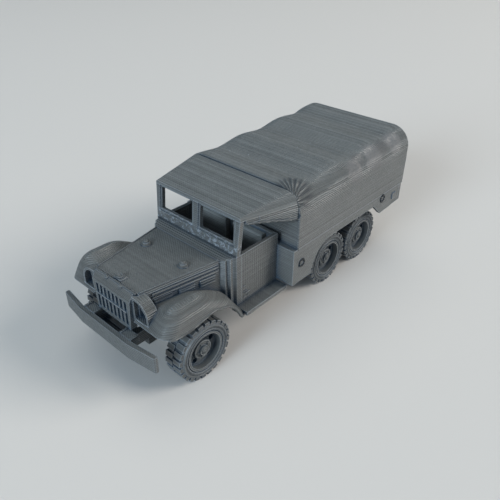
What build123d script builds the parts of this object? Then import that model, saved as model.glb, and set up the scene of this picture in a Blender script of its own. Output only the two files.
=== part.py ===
from build123d import *
import math
import os

os.makedirs("parts", exist_ok=True)

# A small printed model of a six-wheeled army cargo truck with a canvas tilt, in millimetres.
# The front faces -Y, the vehicle's left is +X, the ground is Z = 0, and the origin lies on the
# ground under the middle of the model.

# ---------------------------------------------------------------- layout along the truck
front_overhang = 14.9        # bumper face to front axle
wheelbase = 50.9             # front axle to middle axle
bogie_spacing = 16.9         # middle axle to rear axle
rear_overhang = 15.8         # rear axle to the back of the tilt
shell_depth = 1.8            # radiator shell, front to back
hood_length = 21.2
hood_lead = 9.6              # front edge of the hood's top ahead of the front axle
cowl_length = 2.9            # cowl's top, from the hood to the windshield frame
cab_length = 15.1            # windshield frame's foot to the back of the cab
bed_ledge = 1.8              # between the cab's back and the tilt's front wall
length = front_overhang + wheelbase + bogie_spacing + rear_overhang
bumper_y = -length / 2
rear_y = length / 2
front_axle_y = bumper_y + front_overhang
middle_axle_y = front_axle_y + wheelbase
rear_axle_y = middle_axle_y + bogie_spacing

hood_front_y = front_axle_y - hood_lead
grille_y = hood_front_y - shell_depth
hood_rear_y = hood_front_y + hood_length
screen_foot_y = hood_rear_y + cowl_length
cab_rear_y = screen_foot_y + cab_length
tilt_front_y = cab_rear_y + bed_ledge

# ---------------------------------------------------------------- widths
cab_width = 28.9
bed_width = 39.8
bumper_width = 34.4
step_width = 36.4            # over the outer edges of the running boards and fenders
hood_front_width = 15.8
hood_rear_width = 23.4
grille_top_width = 14.0
grille_foot_width = 12.4
front_track = 31.2           # between the middles of the front tyres
rear_track = 27.8            # between the middles of the rear tyres
cab_half = cab_width / 2
bed_half = bed_width / 2
step_half = step_width / 2

# ---------------------------------------------------------------- heights
step_z = 10.9                # top of the running boards
frame_top_z = 13.2
bumper_top_z = 14.7
grille_foot_z = 14.8
bed_side_foot_z = 19.5       # lower edge of the bed's sides above the rear wheels
seam_z = 21.9                # tilt sits on the bed here
grille_top_z = 22.9
hood_z = 24.6
belt_z = 25.3                # top of the doors, foot of the windshield frame
roof_front_z = 35.6
roof_rear_z = 37.5
tilt_front_z = 37.9
tilt_rear_z = 39.3

# ---------------------------------------------------------------- walls and fits
skin = 0.9                   # sheet parts: hood, fenders, roof
wall = 1.0                   # doors, bed boards, tilt
running_clearance = 0.06     # around each axle pin, in radius
side_play = 0.3              # between an axle's shoulder and its wheel, along the pin

# ---------------------------------------------------------------- frame
rail_gauge = 11.8            # between the middles of the two rails
rail_width = 1.8
rail_height = 3.2
crossmember_depth = 1.6
bumper_depth = 1.2
frame_front_y = bumper_y + bumper_depth
frame_rear_y = rear_y - 2.4
crossmember_ys = (
    front_axle_y - 9.6,
    front_axle_y + 8.0,
    cab_rear_y - 4.0,
    middle_axle_y - 7.0,
    (middle_axle_y + rear_axle_y) / 2,
    frame_rear_y - crossmember_depth / 2,
)
frame_middle_z = frame_top_z - rail_height / 2

with BuildPart() as chassis_frame:
    with Locations((0, (frame_front_y + frame_rear_y) / 2, frame_middle_z)):
        with GridLocations(rail_gauge, 1, 2, 1):
            Box(rail_width, frame_rear_y - frame_front_y, rail_height)
    for crossmember_y in crossmember_ys:
        with Locations((0, crossmember_y, frame_middle_z)):
            Box(rail_gauge, crossmember_depth, rail_height)
chassis_frame.part.label = "chassis_frame"
export_step(chassis_frame.part, "parts/chassis_frame.step")

# ---------------------------------------------------------------- front bumper
bumper_height = 4.3
bumper_flat_width = 18.2     # straight middle part, before the ends sweep back
bumper_sweep = 1.1           # how far the tips stand behind the middle
bumper_half = bumper_width / 2
bumper_flat_half = bumper_flat_width / 2

with BuildPart() as front_bumper:
    with BuildSketch(Plane.XY.offset(bumper_top_z - bumper_height)):
        with BuildLine():
            Polyline(
                (-bumper_half, bumper_y + bumper_sweep),
                (-bumper_flat_half, bumper_y),
                (bumper_flat_half, bumper_y),
                (bumper_half, bumper_y + bumper_sweep),
                (bumper_half, bumper_y + bumper_sweep + bumper_depth),
                (bumper_flat_half, bumper_y + bumper_depth),
                (-bumper_flat_half, bumper_y + bumper_depth),
                (-bumper_half, bumper_y + bumper_sweep + bumper_depth),
                close=True,
            )
        make_face()
    extrude(amount=bumper_height)
    chamfer(front_bumper.edges().filter_by(Axis.Z).group_by(Axis.X)[-1], 0.3)
    chamfer(front_bumper.edges().filter_by(Axis.Z).group_by(Axis.X)[0], 0.3)
front_bumper.part.label = "front_bumper"
export_step(front_bumper.part, "parts/front_bumper.step")

# The brackets stand on the rail ends, between the bumper and the foot of the grille.
bracket_inner_half = 5.1
bracket_outer_half = 9.0
bracket_middle_half = (bracket_inner_half + bracket_outer_half) / 2
bracket_top_z = bumper_top_z + 0.1
bracket_rear_y = grille_y
bracket_foot_z = frame_top_z

with BuildPart() as bumper_brackets:
    for side in (1, -1):
        with BuildSketch(Plane.XY.offset(bracket_foot_z)):
            with Locations((side * bracket_middle_half, (frame_front_y + bracket_rear_y) / 2)):
                Rectangle(bracket_outer_half - bracket_inner_half, bracket_rear_y - frame_front_y)
        extrude(amount=bracket_top_z - bracket_foot_z)
bumper_brackets.part.label = "bumper_brackets"
export_step(bumper_brackets.part, "parts/bumper_brackets.step")

# ---------------------------------------------------------------- wheels and axles
tyre_radius = 8.0            # to the tips of the lugs
tyre_width = 5.2
lug_count = 24               # in each of the two rows, which stand half a pitch apart
lug_depth = 0.4
lug_width = 1.3
lug_root = 0.5               # how far a lug reaches into the carcass
lug_length = 2.3
lug_inset = 0.15             # between a lug and the tyre's side face
shoulder_chamfer = 0.7
bead_groove_radius = 5.45
bead_groove_width = 0.3
bead_groove_depth = 0.35
dish_radius = 4.7
dish_depth = 1.9
boss_radius = 2.5
boss_height = 0.9
hub_radius = 1.25
hub_height = 1.5             # hub above the floor of the dish
hand_holes = 5
hand_hole_start = 18         # degrees
hand_hole_radius = 0.75
hand_hole_circle = 3.55
back_recess_radius = 5.0
back_recess_depth = 1.4
back_hub_radius = 2.3
pin_radius = 1.1
pin_end_gap = 0.3            # between a pin's tip and the end of its bore
cap_thickness = 1.6          # solid hub outside the bore
axle_radius = 1.35
differential_radius = 2.9
differential_length = 5.0
axle_z = tyre_radius
carcass_radius = tyre_radius - lug_depth
carcass_sides = 2 * lug_count        # a flat under each lug of both rows
lug_pitch = 360 / lug_count
lug_tip_radius = math.sqrt(tyre_radius ** 2 - (lug_width / 2) ** 2)
lug_root_radius = carcass_radius - lug_root
lug_middle_radius = (lug_tip_radius + lug_root_radius) / 2
bore_depth = tyre_width - dish_depth + hub_height - cap_thickness
# columns: name, middle of the tyres across the truck, place along the truck
axle_table = (
    ("front", front_track / 2, front_axle_y),
    ("middle", rear_track / 2, middle_axle_y),
    ("rear", rear_track / 2, rear_axle_y),
)

for axle_name, half_track, axle_y in axle_table:
    inner_half = half_track - tyre_width / 2
    pin_half = inner_half + bore_depth - pin_end_gap
    across = Plane(origin=(0, axle_y, axle_z), x_dir=(0, 1, 0), z_dir=(1, 0, 0))
    with BuildPart() as axle:
        with BuildSketch(across):
            Circle(pin_radius)
        extrude(amount=pin_half, both=True)
        with BuildSketch(across):
            Circle(axle_radius)
        extrude(amount=inner_half - side_play, both=True)
        with BuildSketch(across):
            Circle(differential_radius)
        extrude(amount=differential_length / 2, both=True)
        chamfer(axle.edges().filter_by(GeomType.CIRCLE).group_by(SortBy.RADIUS)[-1], 1.0)
    axle.part.label = f"{axle_name}_axle"
    export_step(axle.part, f"parts/{axle_name}_axle.step")

    for side_name, side in (("left", 1), ("right", -1)):
        back = Plane(origin=(side * inner_half, axle_y, axle_z), x_dir=(0, 1, 0), z_dir=(side, 0, 0))
        with BuildPart() as wheel:
            with BuildSketch(back):
                RegularPolygon(carcass_radius, carcass_sides, rotation=lug_pitch / 4)
            extrude(amount=tyre_width)
            rim_edges = wheel.edges().group_by(Axis.X)
            chamfer(rim_edges[0] + rim_edges[-1], shoulder_chamfer)
            for row_start, row_phase in ((lug_inset, 0), (tyre_width - lug_inset - lug_length, 0.5)):
                with BuildSketch(back.offset(row_start)):
                    with PolarLocations(lug_middle_radius, lug_count, start_angle=row_phase * lug_pitch):
                        Rectangle(lug_tip_radius - lug_root_radius, lug_width)
                extrude(amount=lug_length)
            with BuildSketch(back.offset(tyre_width)):
                Circle(bead_groove_radius + bead_groove_width / 2)
                Circle(bead_groove_radius - bead_groove_width / 2, mode=Mode.SUBTRACT)
            extrude(amount=-bead_groove_depth, mode=Mode.SUBTRACT)
            with BuildSketch(back.offset(tyre_width)):
                Circle(dish_radius)
            extrude(amount=-dish_depth, mode=Mode.SUBTRACT)
            with BuildSketch(back.offset(tyre_width - dish_depth)):
                Circle(boss_radius)
            extrude(amount=boss_height)
            with BuildSketch(back.offset(tyre_width - dish_depth)):
                Circle(hub_radius)
            extrude(amount=hub_height)
            with BuildSketch(back):
                Circle(back_recess_radius)
                Circle(back_hub_radius, mode=Mode.SUBTRACT)
            extrude(amount=back_recess_depth, mode=Mode.SUBTRACT)
            with BuildSketch(back):
                with PolarLocations(hand_hole_circle, hand_holes, start_angle=side * hand_hole_start):
                    Circle(hand_hole_radius)
            extrude(amount=tyre_width, mode=Mode.SUBTRACT)
            with BuildSketch(back):
                Circle(pin_radius + running_clearance)
            extrude(amount=bore_depth, mode=Mode.SUBTRACT)
        wheel.part.label = f"wheel_{axle_name}_{side_name}"
        export_step(wheel.part, f"parts/wheel_{axle_name}_{side_name}.step")

# ---------------------------------------------------------------- springs
# Each spring is a block that ties an axle to its rail; the bogie shares one pack a side.
spring_width = 1.6
spring_thickness = 1.5
front_spring_length = 15.0
bogie_spring_length = bogie_spacing + 2.4
rail_foot_z = frame_top_z - rail_height
# columns: name, middle of the pack along the truck, length
spring_table = (
    ("front_springs", front_axle_y, front_spring_length),
    ("bogie_springs", (middle_axle_y + rear_axle_y) / 2, bogie_spring_length),
)
for spring_name, spring_y, spring_length in spring_table:
    with BuildPart() as springs:
        with Locations((0, spring_y, (axle_z + rail_foot_z) / 2)):
            with GridLocations(rail_gauge, 1, 2, 1):
                Box(spring_width, spring_length, rail_foot_z - axle_z)
        for axle_name, half_track, axle_y in axle_table:
            with Locations((0, axle_y, axle_z)):
                Cylinder(axle_radius, rail_gauge * 2, rotation=(0, 90, 0), mode=Mode.SUBTRACT)
    springs.part.label = spring_name
    export_step(springs.part, f"parts/{spring_name}.step")

# ---------------------------------------------------------------- radiator shell and grille
grille_slots = 8
grille_frame = 0.55
bar_width = 0.6
slot_depth = 1.3
crossbar_height = 0.35
crossbar_proud = 0.25
shell_slope = 1.3            # how far the shell's top edge leans back above the grille
grille_top_half = grille_top_width / 2
grille_foot_half = grille_foot_width / 2
slot_top_z = grille_top_z - grille_frame
slot_foot_z = grille_foot_z + 0.9
slot_pitch = (grille_foot_width - 2 * grille_frame + bar_width) / grille_slots

with BuildPart() as radiator_grille:
    with BuildSketch(Plane.XZ.offset(-hood_front_y)):
        with BuildLine():
            Polyline(
                (-grille_foot_half, grille_foot_z),
                (grille_foot_half, grille_foot_z),
                (grille_top_half, grille_top_z),
                (grille_top_half, hood_z),
                (-grille_top_half, hood_z),
                (-grille_top_half, grille_top_z),
                close=True,
            )
        make_face()
    extrude(amount=shell_depth)
    with BuildSketch(Plane.YZ.offset(-grille_top_half)):
        with BuildLine():
            Polyline(
                (grille_y, grille_top_z),
                (grille_y + shell_slope, hood_z),
                (grille_y - 1, hood_z),
                (grille_y - 1, grille_top_z),
                close=True,
            )
        make_face()
    extrude(amount=grille_top_width, mode=Mode.SUBTRACT)
    with BuildSketch(Plane.XZ.offset(-grille_y)):
        with Locations((0, (slot_top_z + slot_foot_z) / 2)):
            with GridLocations(slot_pitch, 1, grille_slots, 1):
                Rectangle(slot_pitch - bar_width, slot_top_z - slot_foot_z)
    extrude(amount=-slot_depth, mode=Mode.SUBTRACT)
    with Locations((0, grille_y + slot_depth / 2, (slot_top_z + slot_foot_z) / 2 + 0.6)):
        Box(grille_foot_width - 2 * grille_frame, slot_depth + 2 * crossbar_proud, crossbar_height)
radiator_grille.part.label = "radiator_grille"
export_step(radiator_grille.part, "parts/radiator_grille.step")

# ---------------------------------------------------------------- hood
hood_foot_z = 15.4
hood_front_half = hood_front_width / 2
hood_rear_half = hood_rear_width / 2
hood_edge_radius = 0.6
knob_radius = 1.05
knob_height = 0.8
knob_crown = 0.35
knob_half_spacing = 6.8
knob_y = front_axle_y + 4.5
latch_radius = 1.0
latch_height = 0.45
groove_width = 0.3           # gap between the radiator shell and the hood's top
groove_depth = 0.4
ridge_height = 0.5
ridge_proud = 0.3
# columns: front end and rear end from the front axle, height above the ground
ridge_table = (
    (-6.4, 11.0, hood_z - 1.3),
    (-6.4, 11.0, hood_z - 2.2),
)
# columns: front end and rear end from the front axle, height above the ground
louvre_table = (
    (-6.2, -1.6, hood_z - 3.0),
    (0.2, 4.4, hood_z - 3.2),
    (5.8, 10.0, hood_z - 3.4),
)


def hood_half_at(y):
    """Half width of the hood at a place along the truck."""
    share = (y - hood_front_y) / (hood_rear_y - hood_front_y)
    return hood_front_half + (hood_rear_half - hood_front_half) * share


with BuildPart() as hood:
    with BuildSketch(Plane.XY.offset(hood_foot_z)):
        with BuildLine():
            Polyline(
                (-hood_front_half, hood_front_y),
                (hood_front_half, hood_front_y),
                (hood_rear_half, hood_rear_y),
                (-hood_rear_half, hood_rear_y),
                close=True,
            )
        make_face()
    extrude(amount=hood_z - hood_foot_z)
    fillet(hood.edges().group_by(Axis.Z)[-1].filter_by(lambda edge: abs(edge.center().X) > hood_front_half / 2),
           hood_edge_radius)
    with BuildSketch(Plane.XY.offset(hood_foot_z)):
        with BuildLine():
            Polyline(
                (-hood_front_half + skin, hood_front_y + skin),
                (hood_front_half - skin, hood_front_y + skin),
                (hood_rear_half - skin, hood_rear_y),
                (-hood_rear_half + skin, hood_rear_y),
                close=True,
            )
        make_face()
    extrude(amount=hood_z - hood_foot_z - skin, mode=Mode.SUBTRACT)
    with Locations((0, knob_y, hood_z + knob_height / 2)):
        with GridLocations(2 * knob_half_spacing, 1, 2, 1):
            Cylinder(knob_radius, knob_height)
    chamfer(hood.edges().group_by(Axis.Z)[-1], knob_crown)
    with Locations((0, hood_front_y + groove_width / 2, hood_z - groove_depth / 2)):
        Box(hood_front_width, groove_width, groove_depth, mode=Mode.SUBTRACT)
    with Locations((0, hood_front_y + groove_width + latch_radius, hood_z + latch_height / 2)):
        Cylinder(latch_radius, latch_height)
    for ridge_start, ridge_end, ridge_z in ridge_table + louvre_table:
        start_y = front_axle_y + ridge_start
        end_y = front_axle_y + ridge_end
        for side in (1, -1):
            with BuildSketch(Plane.XY.offset(ridge_z - ridge_height / 2)):
                with BuildLine():
                    Polyline(
                        (side * (hood_half_at(start_y) - skin / 2), start_y),
                        (side * (hood_half_at(start_y) + ridge_proud), start_y),
                        (side * (hood_half_at(end_y) + ridge_proud), end_y),
                        (side * (hood_half_at(end_y) - skin / 2), end_y),
                        close=True,
                    )
                make_face()
            extrude(amount=ridge_height)
hood.part.label = "hood"
export_step(hood.part, "parts/hood.step")

# ---------------------------------------------------------------- front fenders
# Each fender is a domed sheet: its crown line runs from the front tip over the wheel and down to
# the running board, and its outer flank is trimmed along the lip line.
fender_outer_half = step_half
fender_inner_half = hood_front_half - 0.3
fender_crown_half = 15.0     # the crown's highest line, from the middle of the truck
fender_shoulder = 3.0        # radius of the round between crown and flank
fender_tip_z = 18.0
# columns: place from the front axle, height above the ground, bend radius, drop towards the hood
crown_table = (
    (-11.3, fender_tip_z, 0, 0),
    (-8.0, 23.5, 5.5, 3.2),
    (1.4, 23.4, 9.0, 4.2),
    (8.4, 19.3, 10.0, 2.8),
    (14.2, step_z, 0, 0),
)
# columns: place from the front axle, height above the ground
lip_table = (
    (-12.5, 18.3),
    (-7.6, 17.1),
    (-3.7, 16.9),
    (0.4, 17.7),
    (3.6, 18.3),
    (8.2, 16.4),
    (11.4, 13.4),
    (12.8, 9.9),
)

fender_foot_z = step_z - 3   # below every point of the lip
step_front_y = front_axle_y + crown_table[-1][0]     # the fender's foot meets the running board

# A square-shouldered pod stands each side of the grille, over a small round lamp.
pod_front_y = grille_y + 0.7
pod_depth = 2.8
pod_back = 0.6               # thickness of the pod's back plate
pod_rim = 0.6
pod_corner_radius = 4.0
pod_outer_half = 12.2
pod_foot_z = fender_tip_z
pod_top_z = hood_z - 0.3
lamp_radius = 1.5
lamp_proud = 0.8

# The cheeks of the cowl widen in steps to the cab.
# columns: share of the cowl's length back, share of the way out from the hood to the cab's side
cheek_table = (
    (0.0, 0.0),
    (0.17, 0.45),
    (0.45, 0.45),
    (0.52, 0.75),
    (0.8, 0.75),
)


def nose_plan(side):
    """Plan of one side of the nose, from above: grille, hood and the cowl's cheeks."""
    with BuildSketch(Plane.XY) as plan:
        with BuildLine():
            Polyline(
                (0, grille_y - 1),
                (side * grille_top_half, grille_y - 1),
                (side * grille_top_half, hood_front_y),
                (side * hood_front_half, hood_front_y),
                *[
                    (side * (hood_rear_half + out * (cab_half - hood_rear_half)), hood_rear_y + back * cowl_length)
                    for back, out in cheek_table
                ],
                (side * cab_half, screen_foot_y),
                (0, screen_foot_y),
                close=True,
            )
        make_face()
    return plan.sketch


def pod_face(side, inset):
    """Front view of a headlamp pod, drawn in from its edge by the inset."""
    with BuildSketch(Plane.XZ.offset(-pod_front_y)) as face:
        with BuildLine():
            FilletPolyline(
                (side * (grille_top_half + inset), pod_top_z - inset),
                (side * (pod_outer_half - inset), pod_top_z - inset),
                (side * (pod_outer_half - inset), pod_foot_z + inset),
                radius=pod_corner_radius - inset,
            )
            Polyline(
                (side * (pod_outer_half - inset), pod_foot_z + inset),
                (side * (grille_top_half + inset), pod_foot_z + inset),
                (side * (grille_top_half + inset), pod_top_z - inset),
            )
        make_face()
    return face.sketch


def fender_side(place, share, inset):
    """Side view of a fender at a distance from the middle, lowered by a share of the table's drop."""
    with BuildSketch(Plane.YZ.offset(place)) as view:
        with BuildLine():
            FilletPolyline(
                *[(front_axle_y + along, height - share * drop) for along, height, bend, drop in crown_table],
                radius=[bend for along, height, bend, drop in crown_table[1:-1]],
            )
            Polyline(
                (front_axle_y + crown_table[-1][0], step_z),
                (front_axle_y + crown_table[-1][0], fender_foot_z),
                (front_axle_y + crown_table[0][0], fender_foot_z),
                (front_axle_y + crown_table[0][0], fender_tip_z),
            )
        make_face()
        offset(amount=-inset)
    return view.sketch


for side_name, side in (("left", 1), ("right", -1)):
    with BuildPart() as fender_space:
        inner = fender_side(side * (fender_inner_half - skin), 1, skin)
        crown = fender_side(side * fender_crown_half, 0, skin)
        loft([inner, crown])
        extrude(crown, amount=side * (fender_outer_half - skin - fender_crown_half))
        outer_edges = fender_space.edges().group_by(Axis.X)[-1 if side > 0 else 0]
        fillet(outer_edges.filter_by(lambda edge: edge.center().Z > step_z), fender_shoulder - skin)
    with BuildPart() as fender:
        inner = fender_side(side * fender_inner_half, 1, 0)
        crown = fender_side(side * fender_crown_half, 0, 0)
        loft([inner, crown])
        extrude(crown, amount=side * (fender_outer_half - fender_crown_half))
        outer_edges = fender.edges().group_by(Axis.X)[-1 if side > 0 else 0]
        fillet(outer_edges.filter_by(lambda edge: edge.center().Z > step_z), fender_shoulder)
        add(fender_space.part, mode=Mode.SUBTRACT)
        with BuildSketch(Plane.YZ.offset(side * fender_inner_half)):
            with BuildLine():
                Polyline(
                    *[(front_axle_y + place, height) for place, height in lip_table],
                    (front_axle_y + crown_table[-1][0] + 1, lip_table[-1][1]),
                    (front_axle_y + crown_table[-1][0] + 1, fender_foot_z - 1),
                    (front_axle_y + lip_table[0][0], fender_foot_z - 1),
                    close=True,
                )
            make_face()
        extrude(amount=side * (fender_outer_half + 1 - fender_inner_half), mode=Mode.SUBTRACT)
        extrude(nose_plan(side), amount=hood_z, mode=Mode.SUBTRACT)
        extrude(pod_face(side, 0), amount=-pod_depth, mode=Mode.SUBTRACT)
    fender.part.label = f"front_fender_{side_name}"
    export_step(fender.part, f"parts/front_fender_{side_name}.step")

# ---------------------------------------------------------------- headlamp pods
for side_name, side in (("left", 1), ("right", -1)):
    with BuildPart() as pod:
        extrude(pod_face(side, 0), amount=-pod_depth)
        extrude(pod_face(side, pod_rim), amount=-(pod_depth - pod_back), mode=Mode.SUBTRACT)
        with BuildSketch(Plane.XZ.offset(-(pod_front_y + pod_depth - pod_back))):
            with Locations((side * (grille_top_half + pod_outer_half) / 2, (pod_foot_z + pod_top_z) / 2)):
                Circle(lamp_radius)
        extrude(amount=lamp_proud)
        extrude(nose_plan(side), amount=hood_z, mode=Mode.SUBTRACT)
    pod.part.label = f"headlamp_{side_name}"
    export_step(pod.part, f"parts/headlamp_{side_name}.step")

# ---------------------------------------------------------------- cowl
# A box behind the hood, open below and towards the cab.
cowl_rear_y = screen_foot_y + 1.6
cowl_hollow_half = hood_rear_half - wall
floor_thickness = 1.0
floor_z = frame_top_z + floor_thickness      # top of the cab floor

with BuildPart() as cowl:
    for side in (1, -1):
        extrude(nose_plan(side), amount=belt_z)
    with Locations((0, (grille_y + cowl_rear_y) / 2, step_z / 2)):
        Box(cab_width, cowl_rear_y - grille_y + 2, step_z, mode=Mode.SUBTRACT)
    with Locations((0, (screen_foot_y + cowl_rear_y) / 2, (step_z + belt_z) / 2)):
        Box(cab_width, cowl_rear_y - screen_foot_y, belt_z - step_z)
    with Locations((0, (grille_y + hood_rear_y) / 2 - 1, (step_z + belt_z) / 2)):
        Box(cab_width, hood_rear_y - grille_y + 2, belt_z - step_z, mode=Mode.SUBTRACT)
    with BuildSketch(Plane.YZ.offset(-cab_half)):
        with BuildLine():
            Polyline(
                (hood_rear_y, hood_z),
                (screen_foot_y, belt_z),
                (screen_foot_y, belt_z + 1),
                (hood_rear_y, belt_z + 1),
                close=True,
            )
        make_face()
    extrude(amount=cab_width, mode=Mode.SUBTRACT)
    with Locations((0, (hood_rear_y + wall + cowl_rear_y) / 2, (step_z + hood_z - wall) / 2)):
        Box(2 * cowl_hollow_half, cowl_rear_y - hood_rear_y - wall, hood_z - wall - step_z,
            mode=Mode.SUBTRACT)
    with Locations((0, hood_rear_y + wall / 2, (step_z + frame_top_z) / 2)):
        Box(2 * cowl_hollow_half, wall, frame_top_z - step_z, mode=Mode.SUBTRACT)
cowl.part.label = "cowl"
export_step(cowl.part, "parts/cowl.step")

# ---------------------------------------------------------------- cab
with BuildPart() as cab_floor:
    with Locations((0, (cowl_rear_y + cab_rear_y) / 2, floor_z - floor_thickness / 2)):
        Box(2 * (cab_half - wall), cab_rear_y - cowl_rear_y, floor_thickness)
    with Locations((0, (hood_rear_y + wall + cowl_rear_y) / 2, floor_z - floor_thickness / 2)):
        Box(2 * cowl_hollow_half, cowl_rear_y - hood_rear_y - wall, floor_thickness)
cab_floor.part.label = "cab_floor"
export_step(cab_floor.part, "parts/cab_floor.step")

step_thickness = 1.0
for side_name, side in (("left", 1), ("right", -1)):
    with BuildPart() as door:
        with BuildSketch(Plane.XY.offset(step_z)):
            with Locations((side * (cab_half - wall / 2), (cowl_rear_y + cab_rear_y) / 2)):
                Rectangle(wall, cab_rear_y - cowl_rear_y)
        extrude(amount=belt_z - step_z)
    door.part.label = f"door_{side_name}"
    export_step(door.part, f"parts/door_{side_name}.step")

    with BuildPart() as running_board:
        with BuildSketch(Plane.XY.offset(step_z - step_thickness)):
            with Locations((side * (cab_half - wall + step_half) / 2, (step_front_y + cab_rear_y) / 2)):
                Rectangle(step_half - cab_half + wall, cab_rear_y - step_front_y)
        extrude(amount=step_thickness)
    running_board.part.label = f"running_board_{side_name}"
    export_step(running_board.part, f"parts/running_board_{side_name}.step")

with BuildPart() as cab_back:
    with BuildSketch(Plane.XY.offset(floor_z)):
        with Locations((0, cab_rear_y - wall / 2)):
            Rectangle(cab_width - 2 * wall, wall)
    extrude(amount=belt_z - floor_z)
cab_back.part.label = "cab_back"
export_step(cab_back.part, "parts/cab_back.step")

# ---------------------------------------------------------------- seats
seat_width = 10.0
seat_length = 7.0
seat_height = 3.6
seat_back_height = 10.5
seat_back_thickness = 1.8
seat_half_spacing = 6.4
for side_name, side in (("left", 1), ("right", -1)):
    with BuildPart() as seat:
        with BuildSketch(Plane.XY.offset(floor_z)):
            with Locations((side * seat_half_spacing, cab_rear_y - wall - seat_length / 2)):
                Rectangle(seat_width, seat_length)
        extrude(amount=seat_height)
        with BuildSketch(Plane.XY.offset(floor_z)):
            with Locations((side * seat_half_spacing, cab_rear_y - wall - seat_back_thickness / 2)):
                Rectangle(seat_width, seat_back_thickness)
        extrude(amount=seat_back_height)
        fillet(seat.edges().filter_by(Axis.X).group_by(Axis.Z)[-1], 0.5)
    seat.part.label = f"seat_{side_name}"
    export_step(seat.part, f"parts/seat_{side_name}.step")

# ---------------------------------------------------------------- windshield frame
screen_rake = 0.9            # how far the frame's top stands behind its foot
screen_thickness = 1.3
screen_flare = 0.8           # how much wider the frame is at its top than at its foot
screen_foot_bar = 2.9
screen_top_bar = 0.4
screen_post = 1.6
screen_middle_post = 2.8
rebate_width = 0.55          # shallow step around each pane
rebate_depth = 0.25
roof_front_foot_z = roof_front_z - skin      # underside of the roof above the frame
screen_height = roof_front_foot_z - belt_z
screen_slope = math.degrees(math.atan2(screen_rake, screen_height))
screen_plane = Plane(
    origin=(0, screen_foot_y, belt_z),
    x_dir=(1, 0, 0),
    z_dir=(0, -math.cos(math.radians(screen_slope)), math.sin(math.radians(screen_slope))),
)
screen_reach = screen_height / math.cos(math.radians(screen_slope))
screen_top_width = cab_width + screen_flare
pane_width = (cab_width - screen_middle_post) / 2 - screen_post
pane_height = screen_reach - screen_foot_bar - screen_top_bar

with BuildPart() as windshield_frame:
    with BuildSketch(screen_plane):
        with BuildLine():
            Polyline(
                (-cab_half, 0),
                (cab_half, 0),
                (screen_top_width / 2, screen_reach),
                (-screen_top_width / 2, screen_reach),
                close=True,
            )
        make_face()
        with Locations((0, screen_foot_bar + pane_height / 2)):
            with GridLocations(pane_width + screen_middle_post, 1, 2, 1):
                RectangleRounded(pane_width, pane_height, 0.4, mode=Mode.SUBTRACT)
    extrude(amount=-screen_thickness)
    with BuildSketch(screen_plane):
        with Locations((0, screen_foot_bar + pane_height / 2)):
            with GridLocations(pane_width + screen_middle_post, 1, 2, 1):
                Rectangle(pane_width + 2 * rebate_width, pane_height + 2 * rebate_width)
    extrude(amount=-rebate_depth, mode=Mode.SUBTRACT)
    split(bisect_by=Plane.XY.offset(belt_z), keep=Keep.TOP)
    split(bisect_by=Plane.XY.offset(roof_front_foot_z), keep=Keep.BOTTOM)
windshield_frame.part.label = "windshield_frame"
export_step(windshield_frame.part, "parts/windshield_frame.step")

# ---------------------------------------------------------------- cab roof
# The canvas roof widens from the windshield to the tilt; its side flaps hang lower to the rear.
roof_front_y = screen_foot_y + screen_rake
roof_inset = 0.4             # roof's side inside the tilt's side, at their joint
roof_rear_half = bed_half - roof_inset
roof_front_half = screen_top_width / 2
roof_front_radius = 0.6
roof_rear_radius = 4.6
# columns: distance back from the roof's front edge, height above the ground
flap_table = (
    (0.0, roof_front_foot_z),
    (screen_thickness + 0.2, roof_front_foot_z),
    (screen_thickness + 0.2, 33.8),
    (7.5, 32.7),
    (16.0, 30.6),
)
roof_foot_z = flap_table[-1][1] - 2

with BuildPart() as cab_roof:
    # columns: place along the truck, half width, height, corner radius, operation
    for inset, mode in ((0, Mode.ADD), (skin, Mode.SUBTRACT)):
        for place, half, top, radius in (
            (roof_front_y, roof_front_half, roof_front_z, roof_front_radius),
            (tilt_front_y, roof_rear_half, roof_rear_z, roof_rear_radius),
        ):
            with BuildSketch(Plane.XZ.offset(-place)) as roof_section:
                with BuildLine():
                    FilletPolyline(
                        (-half + inset, roof_foot_z),
                        (-half + inset, top - inset),
                        (half - inset, top - inset),
                        (half - inset, roof_foot_z),
                        radius=max(radius - inset, 0.3),
                    )
                    Line((half - inset, roof_foot_z), (-half + inset, roof_foot_z))
                make_face()
        loft(mode=mode)
    with BuildSketch(Plane.YZ.offset(-bed_half)):
        with BuildLine():
            Polyline(
                *[(roof_front_y + back, height) for back, height in flap_table],
                (tilt_front_y + 1, flap_table[-1][1]),
                (tilt_front_y + 1, roof_foot_z - 1),
                (roof_front_y - 1, roof_foot_z - 1),
                (roof_front_y - 1, flap_table[0][1]),
                close=True,
            )
        make_face()
    extrude(amount=bed_width, mode=Mode.SUBTRACT)
cab_roof.part.label = "cab_roof"
export_step(cab_roof.part, "parts/cab_roof.step")

# ---------------------------------------------------------------- cargo bed
bed_floor_thickness = 1.0
bed_front_y = cab_rear_y
bed_rear_y = rear_y - 0.5
tailgate_thickness = 1.0
apron_foot_z = 11.3
front_skirt_length = 8.0
rear_skirt_start = 15.4      # ahead of the bed's rear end
rear_skirt_full = 11.2
rear_skirt_front_z = 15.6
rear_skirt_rear_z = 16.3
bed_floor_z = bed_side_foot_z + bed_floor_thickness
marker_radius = 1.25
marker_groove = 0.45
marker_depth = 0.5
# columns: place along the truck, height above the ground
marker_table = (
    (bed_front_y + 3.5, 17.1),
    (bed_rear_y - 10.9, 20.6),
)

lamp_plate = 0.3             # how far the rear side lamps stand out
rear_lamp_size = 1.9
rear_lamp_lead = 4.2         # middle of the lamp ahead of the bed's rear end
rear_lamp_z = 19.2

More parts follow.
